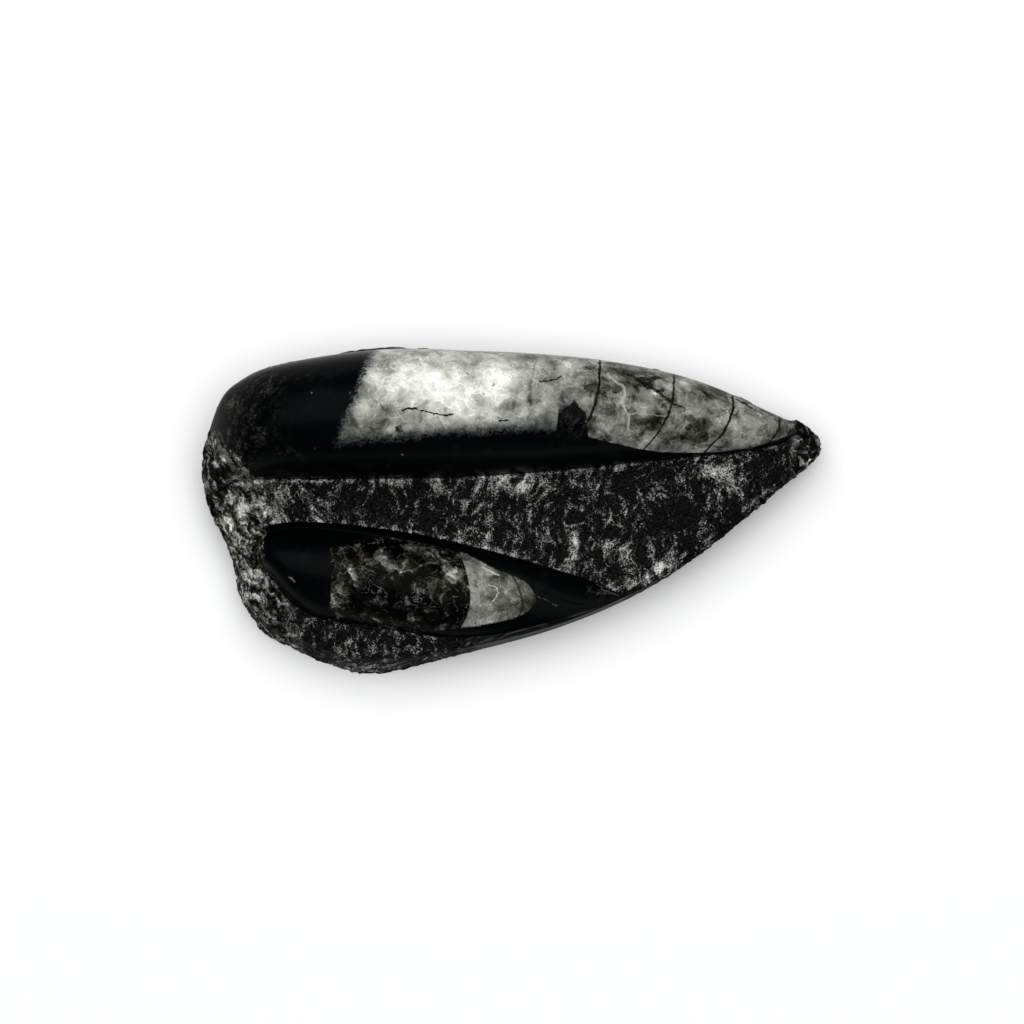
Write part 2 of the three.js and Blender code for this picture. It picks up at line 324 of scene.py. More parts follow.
# Soft spots, each (x, y, reach in x, reach in y, strength)
SHELL_TONE = 0.47
FRINGE_DARKENING = 0.26
SHELL_SPOTS = [(-20, 30, 8, 4, 0.15), (-22, 29, 17, 9, 0.28), (-1, 32, 5, 3, 0.2), (-6, 26, 12, 8, 0.22),
               (-29, 34, 8, 4, 0.14), (-8, 32, 6, 4, 0.08), (26, 27, 6, 6, -0.11), (-38, 26, 3, 3, 0.16),
               (-30, 24, 2.4, 2, -0.2), (-8.5, 24, 2, 2, -0.14), (0.3, 24.8, 3.2, 2, -0.3),
               (4.2, 27, 0.7, 4, -0.2), (13, 29, 4.5, 2.4, 0.15), (39.5, 17.4, 3, 2, -0.26),
               (52.3, 25.2, 2, 1.6, -0.18), (-37, 20, 4, 2.6, -0.2),
               (13, 34.5, 3, 1.6, 0.26), (9, 26, 4, 4, -0.05), (24.2, 22.9, 1.6, 2, -0.2),
               (26, 33.5, 3, 1.2, -0.2), (29.4, 21.7, 1.8, 2, -0.24), (35.2, 21.6, 2.4, 2.8, -0.34),
               (34.5, 28.3, 0.9, 0.6, 0.5), (45, 20.8, 3.4, 2.4, -0.3), (46.7, 17.4, 2.2, 1.8, -0.2),
               (48.5, 24.4, 2.5, 1.4, 0.12), (57, 22, 3, 2.4, 0.16), (51, 28, 5, 1.2, -0.16),
               (65, 19.4, 3.4, 2, -0.16)]
SMUDGE_SPOTS = [(31.4, 31.3, 2.2, 0.8, 1.2), (32.7, 30, 1.5, 1.2, 1.1), (34.6, 32, 1.1, 0.5, 0.9),
                (35.6, 28.6, 1.8, 0.6, 0.95), (38.6, 26.5, 1.6, 1, 0.85), (41, 25.1, 1.2, 0.5, 0.7),
                (43.8, 19.8, 2.4, 1.4, 0.75), (46.6, 17.5, 1.6, 1.6, 0.7),
                (56.5, 26, 1.6, 0.5, 0.8), (53.3, 27.2, 1, 0.6, 0.8), (-26.9, 19.3, 1.6, 1.2, 0.9),
                (-22, 17.6, 4, 0.8, 0.6), (-13, 17.8, 4, 0.6, 0.6), (-1, 18.7, 3, 0.6, 0.8),
                (26.5, 33.2, 1.6, 0.7, 0.55), (24.3, 23, 1, 1, 0.55), (50, 22.6, 1.2, 0.5, 0.6)]
STREAK_SPOTS = [(51, 28.3, 6, 2.2, 1), (62, 23.8, 6, 1.4, 0.8), (33, 31, 4, 2, 0.5)]
DUST_SPOTS = [(-59.5, 30, 3, 1.6, 1), (-67, 25.5, 2, 2, 0.9), (-67.6, 19, 1.3, 1.3, 1), (-66, 13, 4, 4, 0.4),
              (-60.3, 18.7, 1.3, 1.3, 0.8), (-53.5, 13.8, 2.5, 1, 0.6), (-64, 23, 7, 8, 0.26),
              (-57, 32, 9, 1.5, 0.3), (14.5, 21, 4, 4, 0.3), (22, -20, 4, 1.4, 0.9)]
BRECCIA_SPOTS = [(-40.5, -17, 2.2, 9, 0.7), (-27.5, -14.2, 3.4, 3.6, 1.2), (-19.5, -11.8, 4.5, 2, 1.0),
                 (-14, -15.4, 3, 2, 1.5), (-13.4, -17.6, 2.4, 1.4, 1.3), (-20, -19, 4.5, 1.2, 0.5),
                 (-28, -23.6, 4, 2, 0.3), (-22.4, -16.2, 2, 0.9, -2.4), (-34, -16.5, 2.2, 4, -0.9),
                 (-19.7, -22, 3.2, 2, -1.1),
                 (-14, -22, 2.4, 3, -1.5), (-40, -26.5, 4, 1.6, -0.8), (-33, -7.4, 6, 1.6, -0.9),
                 (-5.8, -14.7, 2, 1, 0.9), (-5.2, -20, 1.5, 1.4, -1), (-9.4, -25, 3, 2.5, -0.9),
                 (1, -20.5, 2.5, 3, 0.4)]
CHALK_SPOTS = [(1.5, 5.4, 2.6, 2, 1.9), (3, 6, 9, 2.2, 0.6), (23, -8, 2.4, 1.3, 1.7),
               (27.5, -10, 2.4, 1.6, 1.1), (35.9, -14.1, 1.4, 1.9, 2.2), (48, 8.6, 2.4, 1.5, 1.2),
               (53, 6.5, 3, 3, 1), (60, 0.6, 1.4, 1, 1.2), (15, -10, 1.6, 5, 0.7),
               (-7.6, 5.5, 1.6, 2.4, 0.7), (-10, -4.5, 2, 2, 0.6),
               (-68, -3, 4, 6, 1.6), (-60, -2, 3, 2.5, 1), (-64, -14.5, 2.6, 4, 1.6),
               (-64, -22, 5, 7, 0.1), (-58, 4, 7, 3, 0.7), (-46, 3, 4, 3, -0.5),
               (-37, -39, 5, 2, 0.8), (48, -9.5, 4, 1, 0.6), (31, -18.3, 2.5, 1, 0.9),
               (-12, -7, 8, 2, 0.3), (-61.6, -9, 1.6, 4, -1.6), (-69.6, 9.2, 2.2, 1.3, -4),
               (72.5, 16.5, 3, 2.4, -0.9), (9, 0, 4, 4, -0.4), (40, 0, 6, 5, -0.6), (52, -3, 5, 4, -0.6),
               (62, 9, 4, 3, -0.4), (-35, 2, 7, 3, -0.3), (-22, -2, 5, 3, -0.3)]


def stone_fields(mesh, sections, reach, guide_rows, top):
    """Smooth values at every point, which the shader nodes read. Distances are signed, in mm."""
    rim, spindle_front, _, spindle_back, groove, _, foot, _, back, _ = guide_rows[1:]
    count = sum(len(block) for block in mesh.points)
    x, y = sections[..., 0], sections[..., 1]

    def from_guide(row):
        return reach - reach[:, row:row + 1]

    (ax, ay), (bx, by) = POLISH_END
    length = math.hypot(bx - ax, by - ay)
    past_end = ((bx - ax) * (y - ay) - (by - ay) * (x - ax)) / length
    ridge = np.minimum.reduce([from_guide(foot), 2 - from_guide(back), past_end, STUB_START - x])
    spindle = np.minimum.reduce([from_guide(spindle_front), -from_guide(groove), x - SPINDLE_START,
                                 SPINDLE_END - x])
    half = (y[:, back] - y[:, foot])[:, None] / 2
    middle = (y[:, back] + y[:, foot])[:, None] / 2
    ridge_turn = np.clip((y - middle) / half, -1, 1)
    spindle_half = (y[:, spindle_back] - y[:, spindle_front])[:, None] / 2
    spindle_middle = (y[:, spindle_back] + y[:, spindle_front])[:, None] / 2
    spindle_turn = np.clip((y - spindle_middle) / spindle_half, -1.5, 1.5)
    fringe = fade(y - edge_height(SHELL_LOWER_EDGE, x), 3.5, 0.5) * fade(x, 12, -2)
    row = np.arange(x.shape[1])[None, :]
    beside_foot = np.exp(-((from_guide(foot) + 0.5) / 0.7) ** 2) * fade(x, 60, 40)
    beside_groove = np.exp(-((from_guide(groove) - 0.6) / 0.7) ** 2)
    fields = {
        "polish": np.maximum(ridge, spindle),
        "broken": np.maximum(fade(x + 0.15 * y, -55, -61), fade(x, 67, 70)),
        "ground": fade(x, -20, -2) * fade(x, 40, 22) * (row < np.maximum(rim, spindle_front) + 2),
        "hewn": (row > back) * fade(from_guide(back), 0, 3),
        "shell": np.minimum.reduce([x - edge_height(SHELL_LEFT_EDGE, y),
                                    y - edge_height(SHELL_LOWER_EDGE, x),
                                    1.5 - from_guide(back), from_guide(foot)]),
        "station": x + 0.9 * half * ((1 - ridge_turn) / 2) ** 2.5,
        "spindle_shell": np.minimum.reduce([edge_height(SPINDLE_UPPER_EDGE, x) - y,
                                            y - edge_height(SPINDLE_LOWER_EDGE, x),
                                            x - FILLING_START + spindle_turn ** 2, FILLING_END - x]),
        "spindle_station": x + np.where(spindle_turn < 0, 4.4, 2.3) * spindle_turn ** 2,
        "tone": SHELL_TONE + soft_spots(x, y, SHELL_SPOTS) - FRINGE_DARKENING * fringe,
        "smoke": fade(x, 2, 22),
        "smudge": soft_spots(x, y, SMUDGE_SPOTS),
        "streaks": soft_spots(x, y, STREAK_SPOTS),
        "dust": soft_spots(x, y, DUST_SPOTS),
        "breccia": soft_spots(x, y, BRECCIA_SPOTS),
        "chalk": soft_spots(x, y, CHALK_SPOTS) + 0.8 * beside_foot + 0.5 * beside_groove,
    }
    elsewhere = {"polish": -5, "broken": 1, "ground": 0, "hewn": 0, "shell": -5, "station": 0,
                 "spindle_shell": -5, "spindle_station": 0, "tone": SHELL_TONE, "smoke": 0,
                 "smudge": 0, "streaks": 0, "dust": 0, "breccia": 0, "chalk": 0.2}
    result = {}
    for name, values in fields.items():
        result[name] = np.full(count, float(elsewhere[name]))
        result[name][top.ravel()] = values.ravel()
    return result


# ---------------------------------------------------------------- relief cut into the mesh

def rough(point, size, octaves):
    return noise.fractal(point / size, 0.8, 2.1, octaves)


def pecked_relief(point):
    """Small bowls left by a point chisel, in millimetres."""
    near = noise.voronoi(point / 1.7)[0]
    return -0.25 - 0.5 * max(0.0, 1 - near[0] / 0.6) + 0.3 * rough(point, 1.7, 3)


def broken_relief(point):
    """Steps and cracks of a broken face."""
    near = noise.voronoi(point / 5.5 + Vector((3, 1, 2)))[0]
    step = min(1.0, (near[1] - near[0]) / 0.18)
    return 0.3 + 0.6 * rough(point, 9, 3) + 0.35 * rough(point, 2.2, 3) + 0.5 * (step - 1)


def hewn_relief(point):
    return 0.7 * rough(point, 8, 4)


def cut_relief(stone, fields):
    """Moves the points along their normals; the underside stays flat."""
    data = stone.data
    count = len(data.vertices)
    points = np.zeros(count * 3)
    data.vertices.foreach_get("co", points)
    points = points.reshape(-1, 3)
    normals = np.zeros(count * 3)
    data.vertices.foreach_get("normal", normals)
    normals = normals.reshape(-1, 3)
    on_base = points[:, 2] < 1e-6
    normals[on_base, 2] = 0
    normals[on_base] /= np.maximum(np.linalg.norm(normals[on_base], axis=1), 1e-9)[:, None]

    unpolished = fade(fields["polish"], 0, -0.9) * (1 - fields["ground"])
    broken = unpolished * fields["broken"]
    hewn = (unpolished - broken) * fields["hewn"]
    pecked = unpolished - broken - hewn
    depth = np.zeros(count)
    for weight, relief in ((broken, broken_relief), (hewn, hewn_relief), (pecked, pecked_relief)):
        for i in np.flatnonzero(weight > 0.01):
            depth[i] += weight[i] * relief(Vector(points[i]))
    points += normals * depth[:, None]
    points[:, 2] = np.where(on_base, 0, np.maximum(points[:, 2], 0.02))
    data.vertices.foreach_set("co", points.ravel())
    data.update()


# ---------------------------------------------------------------- shader graph helper

class Graph:
    """Adds shader nodes and links them, so that a look reads as a formula."""

    def __init__(self, tree):
        self.tree = tree
        self.shared = {}

    def share(self, kind, inputs, **settings):
        """A node that is made once for the same request, to keep the graph small."""
        wanted = [(key, value.as_pointer() if isinstance(value, bpy.types.NodeSocket) else value)
                  for key, value in inputs.items()]
        request = (kind, *wanted, *settings.items())
        if request not in self.shared:
            self.shared[request] = self.node(kind, inputs, **settings)
        return self.shared[request]

    def node(self, kind, inputs=None, **settings):
        made = self.tree.nodes.new(kind)
        for name, value in settings.items():
            setattr(made, name, value)
        for key, value in (inputs or {}).items():
            self.put(made.inputs[key], value)
        return made

    def put(self, socket, value):
        if isinstance(value, bpy.types.NodeSocket):
            self.tree.links.new(value, socket)
        else:
            socket.default_value = value

    def math(self, operation, a, b=0.0, c=0.0):
        return self.share("ShaderNodeMath", {0: a, 1: b, 2: c}, operation=operation).outputs[0]

    def add(self, *values):
        total = values[0]
        for value in values[1:]:
            total = self.math("ADD", total, value)
        return total

    def times(self, a, b):
        return self.math("MULTIPLY", a, b)

    def fade(self, value, start, end):
        """0 at start, 1 at end, easing; start may lie above end."""
        if not isinstance(end, bpy.types.NodeSocket) and start > end:
            return self.math("SUBTRACT", 1.0, self.fade(value, end, start))
        ends = {"Value": value, "From Min": start, "From Max": end}
        return self.share("ShaderNodeMapRange", ends, interpolation_type="SMOOTHSTEP").outputs[0]

    def field(self, name):
        return self.share("ShaderNodeAttribute", {}, attribute_name=name).outputs["Fac"]

    def noise(self, where, size, detail=3.0, roughness=0.5, distortion=0.0):
        """Cloudy noise, 0 to 1 about 0.5, with features of that size in mm."""
        inputs = {"Vector": where, "Scale": 1 / size, "Detail": detail, "Roughness": roughness,
                  "Distortion": distortion}
        return self.share("ShaderNodeTexNoise", inputs).outputs["Fac"]

    def cells(self, where, size, feature="F1"):
        """The Voronoi node for cells of that size in mm."""
        return self.share("ShaderNodeTexVoronoi", {"Vector": where, "Scale": 1 / size}, feature=feature)

    def swing(self, value, amount):
        """A 0 to 1 noise turned into one that swings amount either way."""
        return self.math("MULTIPLY_ADD", value, 2 * amount, -amount)

    def vector(self, operation, a, b=(0.0, 0.0, 0.0)):
        return self.share("ShaderNodeVectorMath", {0: a, 1: b}, operation=operation).outputs[0]

    def warp(self, where, size, amount):
        """Places pushed about by noise, to make straight patterns natural."""
        push = self.share("ShaderNodeTexNoise", {"Vector": where, "Scale": 1 / size}).outputs["Color"]
        parts = self.share("ShaderNodeSeparateColor", {0: push}).outputs
        pushes = {axis: self.swing(parts[axis], amount) for axis in range(3)}
        return self.vector("ADD", where, self.share("ShaderNodeCombineXYZ", pushes).outputs[0])

    def ramp(self, value, stops):
        """A colour ramp; stops are (position, (r, g, b))."""
        made = self.node("ShaderNodeValToRGB", {"Fac": value})
        elements = made.color_ramp.elements
        while len(elements) < len(stops):
            elements.new(1.0)
        for element, (position, colour) in zip(elements, stops):
            element.position = position
            element.color = (*colour, 1)
        return made.outputs["Color"]

    def mix(self, part, a, b):
        """Blends two colours."""
        made = self.node("ShaderNodeMix", data_type="RGBA")
        self.put(made.inputs["Factor"], part)
        self.put(made.inputs[6], a if isinstance(a, bpy.types.NodeSocket) else (*a, 1))
        self.put(made.inputs[7], b if isinstance(b, bpy.types.NodeSocket) else (*b, 1))
        return made.outputs[2]

    def mix_value(self, part, a, b):
        """Blends two numbers, or returns the one that both are."""
        if a == b:
            return a
        made = self.node("ShaderNodeMix", data_type="FLOAT")
        self.put(made.inputs["Factor"], part)
        self.put(made.inputs[2], a)
        self.put(made.inputs[3], b)
        return made.outputs[0]

    def lay_over(self, part, over, under):
        """Blends two looks, each (colour, roughness, height in mm)."""
        return (self.mix(part, under[0], over[0]), self.mix_value(part, under[1], over[1]),
                self.mix_value(part, under[2], over[2]))

    def off_line(self, where, points):
        """Distance in mm from a broken line across the stone, seen from above."""
        flat = self.vector("MULTIPLY", where, (1.0, 1.0, 0.0))
        nearest = 1000.0
        for (x0, y0), (x1, y1) in zip(points, points[1:]):
            step = (x1 - x0, y1 - y0, 0.0)
            away = self.vector("SUBTRACT", flat, (x0, y0, 0.0))
            along = self.share("ShaderNodeVectorMath", {0: away, 1: step}, operation="DOT_PRODUCT")
            part = self.node("ShaderNodeMath", {0: along.outputs["Value"], 1: step[0] ** 2 + step[1] ** 2},
                             operation="DIVIDE", use_clamp=True).outputs[0]
            reached = self.node("ShaderNodeVectorMath", {0: step, "Scale": part}, operation="SCALE")
            gap = self.node("ShaderNodeVectorMath", {0: away, 1: reached.outputs[0]}, operation="DISTANCE")
            nearest = self.math("MINIMUM", nearest, gap.outputs["Value"])
        return nearest

    def stretched(self, where, angle, ratio):
        """Places for a texture drawn out along a direction, given in degrees from +X seen from above."""
        turned = self.share("ShaderNodeVectorRotate", {"Vector": where, "Angle": math.radians(-angle)},
                            rotation_type="Z_AXIS").outputs[0]
        return self.vector("MULTIPLY", turned, (ratio, 1.0, 1.0))

    def threads(self, where, size, width):
        """A mask on thin lines that wander through the noise."""
        off = self.math("ABSOLUTE", self.swing(self.noise(where, size, 4, 0.55), 1.0))
        return self.fade(off, width, 0.0)


# ---------------------------------------------------------------- looks: (colour, roughness, height in mm)

INK = (0.0006, 0.001, 0.0012)     # polished black limestone
CRACK_BLACK = (0.004, 0.004, 0.0035)


def polish_ripple(g, where):
    """The faint unevenness of every polished face, as a height in mm."""
    return g.times(g.noise(where, 1.1), 0.005)


def black_limestone(g, where):
    """Polished black limestone with a few pale specks, and brownish dust towards the broken end."""
    specks = g.cells(g.warp(where, 3, 0.6), 4.5).outputs["Distance"]
    fleck = g.times(g.fade(specks, 0.09, 0.05), g.fade(g.noise(where, 9), 0.55, 0.7))
    drawn = g.stretched(g.warp(where, 3, 1.2), 52, 0.6)
    dust = g.times(g.fade(g.noise(drawn, 1.8, 6, 0.7), 0.44, 0.66), g.field("dust"))
    dust = g.times(dust, g.fade(g.noise(where, 0.5, 4, 0.75), 0.42, 0.62))
    cloud = g.noise(where, 7, 5, 0.6)
    colour = g.mix(g.fade(cloud, 0.5, 0.85), INK, (0.004, 0.005, 0.006))
    colour = g.mix(dust, colour, (0.12, 0.116, 0.098))
    colour = g.mix(fleck, colour, (0.1, 0.11, 0.11))
    return colour, g.add(0.22, g.times(cloud, 0.1)), polish_ripple(g, where)


# Colours of calcite by tone; the steps look even
CALCITE_STOPS = [(0.0, CRACK_BLACK), (0.15, (0.017, 0.0165, 0.013)), (0.3, (0.066, 0.066, 0.056)),
                 (0.45, (0.165, 0.168, 0.148)), (0.6, (0.31, 0.315, 0.28)), (0.78, (0.56, 0.57, 0.51)),
                 (1.0, (0.93, 0.94, 0.87))]


def calcite_tone(g, where, tone, contrast):
    """Smooth clouds, crystal facets, white threads, clear spots, fine grain and specks, over a base tone."""
    bent = g.warp(where, 5, 2.2)
    clouds = g.swing(g.noise(bent, 5.5, 3, 0.5), 0.4 * contrast)
    clear = g.fade(g.noise(bent, 3.6, 3, 0.5), 0.52, 0.68)
    crooked = g.warp(bent, 1.5, 0.4)
    tints = [g.node("ShaderNodeSeparateColor", {0: g.cells(crooked, size).outputs["Color"]}).outputs[0]
             for size in (2.4, 1.1)]
    facets = g.add(g.swing(tints[0], 0.055 * contrast), g.swing(tints[1], 0.03 * contrast))
    seams = g.fade(g.cells(crooked, 2.4, "DISTANCE_TO_EDGE").outputs["Distance"], 0.08, 0.0)
    threads = g.math("MAXIMUM", g.threads(g.warp(where, 2, 0.8), 2.6, 0.05),
                     g.times(g.threads(crooked, 1.1, 0.07), 0.6))
    lines = g.math("MAXIMUM", g.times(seams, g.fade(g.noise(where, 4), 0.5, 0.6)),
                   g.times(threads, g.fade(g.noise(where, 5), 0.42, 0.56)))
    grain = g.swing(g.noise(where, 0.55, 3, 0.7), 0.12 * contrast)
    specks = g.times(g.fade(g.cells(where, 2.9).outputs["Distance"], 0.12, 0.06),
                     g.fade(g.noise(where, 6), 0.52, 0.6))
    sparks = g.times(g.fade(g.cells(g.warp(where, 1, 0.3), 1.7).outputs["Distance"], 0.14, 0.06),
                     g.fade(g.noise(where, 4), 0.54, 0.6))
    return g.add(tone, clouds, g.times(clear, -0.11 * contrast), facets, g.times(lines, 0.14), grain,
                 g.times(specks, -0.25), g.times(sparks, 0.25))


# Walls between the chambers: (station in mm, half width in mm, strength)
SEPTA = [(21.3, 0.3, 1.0), (39.2, 0.22, 0.95), (53.6, 0.26, 1.0), (65.2, 0.2, 0.9)]
# Dark cracks and pale veins: (points in mm, half width in mm, strength)
CRACKS = [([(-26.1, 24.2), (-23.1, 24.5), (-21.4, 24), (-18.3, 23.3), (-16.6, 23), (-14, 23.1)], 0.15, 1),
          ([(-24.6, 24.4), (-22.6, 24.6)], 0.3, 1), ([(-3.1, 21.6), (-1.1, 21.9)], 0.26, 1),
          ([(6.5, 31.1), (9, 31.3), (11.7, 32.4)], 0.2, 0.9), ([(5.8, 36.2), (4.5, 31.1)], 0.08, 0.6),
          ([(4.5, 31), (4.2, 23.5)], 0.2, 0.35),
          ([(33, 30), (36.3, 27.8), (38.7, 26), (41.5, 24.8)], 0.22, 0.9),
          ([(29.6, 31.9), (32.4, 30.7), (35.1, 32.3)], 0.25, 0.9),
          ([(54, 27.2), (57.8, 25.2)], 0.2, 0.9), ([(40.3, 20.5), (39.5, 17.7)], 0.1, 0.8),
          ([(44.3, 18.1), (43.5, 14.9)], 0.1, 0.8), ([(-10.8, 33.1), (-10.2, 32.9)], 0.16, 0.7),
          ([(-4.6, 30.2), (-4.2, 30.8)], 0.16, 0.7), ([(-7, 28.4), (-6.6, 28.1)], 0.12, 0.7)]
VEINS = [([(23, 33), (24.6, 31.3), (26.6, 29.8), (27, 28.5), (26.4, 26.5), (27.8, 22.5), (27.8, 19.7)],
          0.3, 0.7),
         ([(26, 23.4), (31, 23.6), (36.7, 22.9)], 0.12, 0.6)]


def drawn_lines(g, where, lines):
    """A mask on all the lines, which narrow and widen a little."""
    wandering = g.warp(g.warp(where, 2.2, 0.7), 0.7, 0.2)
    uneven = g.swing(g.noise(where, 1.0), 0.9)
    mask = 0.0
    for points, half_width, strength in lines:
        off = g.add(g.off_line(wandering, points), g.times(uneven, half_width))
        line = g.times(g.fade(off, half_width * 1.5, half_width * 0.5), strength)
        mask = g.math("MAXIMUM", mask, line)
    return mask


def ridge_calcite(g, where):
    """The large cone's filling: white to the left, grey and smoky to the right."""
    inward = g.fade(g.add(g.field("shell"), g.swing(g.noise(where, 2.5, 4, 0.6), 2.5)), -0.5, 4.5)
    outer = g.times(g.math("SUBTRACT", 1.0, inward), g.math("SUBTRACT", 1.0, g.field("smoke")))
    tone = g.add(calcite_tone(g, where, g.field("tone"), 1.0), g.times(outer, -0.16))
    smoke = g.fade(g.noise(g.stretched(g.warp(where, 4, 2.2), -35, 0.6), 4.2, 6, 0.62), 0.47, 0.72)
    tone = g.add(tone, g.times(g.times(smoke, g.field("smoke")), -0.3))
    streaks = g.fade(g.noise(g.stretched(g.warp(where, 4, 0.6), -22, 0.13), 0.75, 3, 0.6), 0.5, 0.62)
    tone = g.add(tone, g.times(g.times(streaks, g.field("streaks")), -0.3))
    tone = g.mix_value(drawn_lines(g, where, VEINS), tone, 0.7)
    station = g.add(g.field("station"), g.swing(g.noise(where, 2.5, 4, 0.6), 0.6))
    uneven = g.swing(g.noise(where, 1.1), 0.15)
    dark = drawn_lines(g, where, CRACKS)
    for place, half_width, strength in SEPTA:
        off = g.add(g.math("ABSOLUTE", g.math("SUBTRACT", station, place)), uneven)
        line = g.times(g.fade(off, half_width * 1.5, half_width * 0.7), strength)
        dark = g.math("MAXIMUM", dark, line)
    smudge = g.add(g.field("smudge"), g.swing(g.noise(g.warp(where, 1.5, 0.5), 1.3, 6, 0.75), 0.9))
    speckle = g.fade(g.noise(where, 0.5, 3, 0.7), 0.5, 0.7)
    speckle = g.mix(speckle, (0.005, 0.0055, 0.006), (0.09, 0.092, 0.085))
    colour = g.mix(g.fade(smudge, 0.42, 0.68), g.ramp(tone, CALCITE_STOPS), speckle)
    colour = g.mix(dark, colour, CRACK_BLACK)
    colour = g.mix(g.times(outer, 0.35), colour, (0.1, 0.122, 0.13))
    return colour, g.add(0.18, g.times(g.noise(where, 2), 0.1)), polish_ripple(g, where)


# Pale gashes where the cone's polish runs out, and painted highlights: pale glints by the small shell
RIDGE_GASHES = [([(-72, 19), (-69.5, 14.4), (-66.8, 10.3)], 0.5, 0.6),
                ([(-66.8, 13.2), (-64, 9.4), (-61.5, 5.4)], 0.35, 0.5),
                ([(-70.6, 19.2), (-68.6, 15.6)], 0.25, 0.4)]
SPINDLE_PAINTED_HIGHLIGHTS = [([(-53.4, -15.6), (-52.4, -16.6)], 0.3, 0.8),
                  ([(-5.2, -13.9), (-0.4, -16.8), (5.2, -19.8), (10.9, -22.6)], 0.1, 0.5),
                  ([(20.6, -17.6), (23, -19), (25.4, -20.3)], 0.12, 0.6)]
SPINDLE_VEINS = [([(-7.2, -13.4), (-4.6, -14.6), (-3.2, -15.2)], 0.15, 0.8),
                 ([(-5.6, -17.6), (-4, -18), (-3.2, -19.6), (-4.6, -21.4)], 0.12, 0.7)]


def spindle_calcite(g, where):
    """The small shell's filling: dark brown breccia, then pale crystals towards the tip."""
    bent = g.warp(where, 3.4, 2.2)
    pieces = g.cells(g.warp(bent, 1.2, 0.4), 2.6).outputs["Color"]
    pieces = g.swing(g.node("ShaderNodeSeparateColor", {0: pieces}).outputs[0], 0.05)
    clouds = g.add(g.noise(bent, 3.4, 7, 0.66), pieces, g.times(g.field("breccia"), 0.075))
    breccia = g.ramp(clouds, [(0.47, (0.0008, 0.0007, 0.0005)), (0.54, (0.007, 0.0065, 0.0045)),
                              (0.595, (0.04, 0.039, 0.031)), (0.66, (0.14, 0.142, 0.125)),
                              (0.76, (0.6, 0.61, 0.57))])
    threads = g.times(g.threads(bent, 2.4, 0.035), g.fade(g.noise(where, 5), 0.45, 0.6))
    breccia = g.mix(g.times(threads, 0.55), breccia, (0.22, 0.22, 0.19))
    breccia = g.mix(g.times(g.fade(g.noise(where, 2.2), 0.58, 0.68), 0.5), breccia, (0.012, 0.006, 0.002))
    smoky_tip = g.times(g.fade(g.field("spindle_station"), -4, 6), -0.16)
    pale_tone = calcite_tone(g, where, g.add(0.44, g.times(g.field("breccia"), 0.12), smoky_tip), 1.0)
    pale_tone = g.mix_value(drawn_lines(g, where, SPINDLE_VEINS), pale_tone, 0.85)
    pale = g.ramp(pale_tone, CALCITE_STOPS)
    station = g.field("spindle_station")
    colour = g.mix(g.fade(station, PALE_START - 0.2, PALE_START + 0.2), breccia, pale)
    wall = g.math("ABSOLUTE", g.math("SUBTRACT", station, TIP_WALL))
    colour = g.mix(g.times(g.fade(wall, 0.35, 0.12), 0.8), colour, (0.006, 0.006, 0.006))
    return colour, 0.2, polish_ripple(g, where)


def chiselled_matrix(g, where):
    """Black limestone bruised by the chisel: fine grey-white speckle in streaks round dark pits."""
    drawn = g.stretched(g.warp(g.warp(where, 14, 6.0), 2.5, 1.0), 80, 0.55)
    pits = g.cells(drawn, 2.6).outputs["Distance"]
    patches = g.add(0.5, g.swing(g.noise(drawn, 2.4, 7, 0.7), 0.68), g.times(pits, 0.12),
                    g.times(g.field("chalk"), 0.15), g.swing(g.noise(where, 8), 0.16))
    streaks = g.times(g.threads(drawn, 1.8, 0.08), g.fade(patches, 0.5, 0.68))
    bruise = g.math("MAXIMUM", g.fade(patches, 0.57, 0.95), g.times(streaks, 0.55))
    grain = g.noise(g.warp(where, 0.8, 0.3), 0.4, 3, 0.75)
    speckle = g.fade(g.add(grain, g.times(bruise, 0.12)), 0.49, 0.62)
    mark = g.times(speckle, g.add(0.02, g.times(bruise, 0.95)))
    tint = g.mix(g.noise(where, 6), (0.8, 0.81, 0.78), (0.62, 0.61, 0.54))
    colour = g.mix(mark, (0.001, 0.0014, 0.0015), tint)
    height = g.add(g.times(grain, 0.14), g.times(g.noise(where, 1.4, 4, 0.6), 0.3), g.times(pits, 0.2))
    return colour, 0.6, height


def broken_rock(g, where):
    """Fresh broken limestone: grey and cream lumps with dark seams, drawn out along the break; the seams'
    darkening is partly their own colour and partly painted shade in the cracks.
    """
    bent = g.warp(where, 3, 1.6)
    drawn = g.stretched(bent, -55, 0.6)
    cloud = g.add(0.5, g.swing(g.noise(drawn, 2.2, 8, 0.74), 0.85), g.times(g.field("chalk"), 0.06))
    seams = g.times(g.threads(bent, 5, 0.05), g.fade(g.noise(where, 5), 0.45, 0.6))
    grain = g.swing(g.noise(where, 0.45, 3, 0.75), 0.14)
    # The seams are sunk as cracks and darkened: partly a dark colour of their own, partly painted shade in
    # the cracks
    tone = g.add(cloud, grain, g.times(seams, -0.14))
    colour = g.ramp(tone, [(0.4, (0.0016, 0.0016, 0.0014)), (0.49, (0.014, 0.014, 0.012)),
                           (0.57, (0.1, 0.102, 0.09)), (0.66, (0.34, 0.345, 0.31)),
                           (0.78, (0.85, 0.86, 0.8))])
    height = g.add(g.times(g.noise(where, 0.8, 5, 0.65), 0.35), g.times(seams, -0.4))
    return colour, 0.65, height


def ground_edge(g, where):
    """The edge ground smooth but left unpolished, with scratches along it."""
    scratches = g.noise(g.stretched(where, 20, 0.08), 0.5, 4, 0.6)
    colour = g.mix(g.fade(scratches, 0.48, 0.72), (0.003, 0.0034, 0.0035), (0.06, 0.062, 0.06))
    return colour, 0.42, g.times(scratches, 0.03)


def sawn_face(g, where):
    """The underside, dull grey from the saw, with faint straight marks."""
    marks = g.noise(g.vector("MULTIPLY", where, (0.04, 1.0, 1.0)), 0.8, 3, 0.6)
    colour = g.mix(marks, (0.03, 0.031, 0.031), (0.075, 0.077, 0.075))
    return colour, 0.55, g.times(marks, 0.05)


